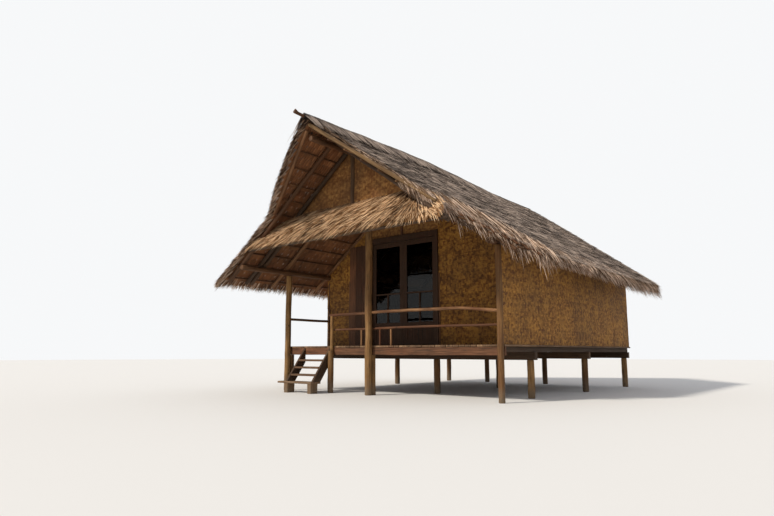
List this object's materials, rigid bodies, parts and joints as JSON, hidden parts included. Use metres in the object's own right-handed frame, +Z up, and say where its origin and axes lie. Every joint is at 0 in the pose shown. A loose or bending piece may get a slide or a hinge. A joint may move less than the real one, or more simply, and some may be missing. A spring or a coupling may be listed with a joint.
{
  "type": "thatched stilt house",
  "caption": "One-room thatched house on stilts with an open porch, woven mat walls, a glazed double door, a leaning gable roof over a thatch skirt, a porch rail and a short stair.",
  "frame": {"origin": "on the ground, in the middle of the roof's plan", "axes": "+Z up, +Y from the porch into the house along the ridge, +X to the right seen from the front"},
  "size_m": [6.36, 8.12, 4.6112],
  "materials": {
    "post_wood": "weathered round poles",
    "dark_wood": "old dark timber",
    "red_wood": "oiled reddish boards",
    "woven_mat": "woven split bamboo, dull",
    "thatch": "dry leaf thatch, rough",
    "pane_glass": "clear pane"
  },
  "bodies": {
    "root": {"stilts": "post_wood", "left_post": "post_wood", "middle_post": "post_wood", "right_post": "post_wood", "room_posts": "post_wood", "stair_post": "post_wood", "floor_beams": "dark_wood", "floor_joists": "dark_wood", "deck_fascia": "red_wood", "porch_deck": "dark_wood", "room_floor": "dark_wood", "stair_strings": "dark_wood", "stair_treads": "dark_wood", "front_wall_left": "woven_mat", "front_wall_right": "woven_mat", "over_door_wall": "woven_mat", "left_wall": "woven_mat", "right_wall": "woven_mat", "back_wall": "woven_mat", "wall_trim": "red_wood", "door_frame": "red_wood", "top_rail": "post_wood", "middle_rail": "post_wood", "rail_uprights": "post_wood", "side_rail": "post_wood", "wall_plates": "post_wood", "tie_beams": "dark_wood", "ridge_pole": "dark_wood", "left_rafters": "dark_wood", "right_rafters": "dark_wood", "left_battens": "dark_wood", "right_battens": "dark_wood", "rake_poles": "post_wood", "front_gable": "woven_mat", "king_post": "dark_wood", "skirt_frame": "dark_wood", "skirt_thatch": "thatch", "left_thatch": "thatch", "right_thatch": "thatch", "ridge_cap": "thatch", "ridge_tip_pole": "post_wood"},
    "left_leaf": {"left_door_leaf": "red_wood", "left_door_glass": "pane_glass"},
    "right_leaf": {"right_door_leaf": "red_wood", "right_door_glass": "pane_glass"}
  },
  "joints": [
    {"name": "left_leaf_hinge", "type": "hinge", "parent": "root", "child": "left_leaf", "pos_m": [-1.166, -0.812, 0.9], "axis": [0, 0, 1], "range_deg": [0, 105]},
    {"name": "right_leaf_hinge", "type": "hinge", "parent": "root", "child": "right_leaf", "pos_m": [0.446, -0.812, 0.9], "axis": [0, 0, -1], "range_deg": [0, 105]}
  ]
}
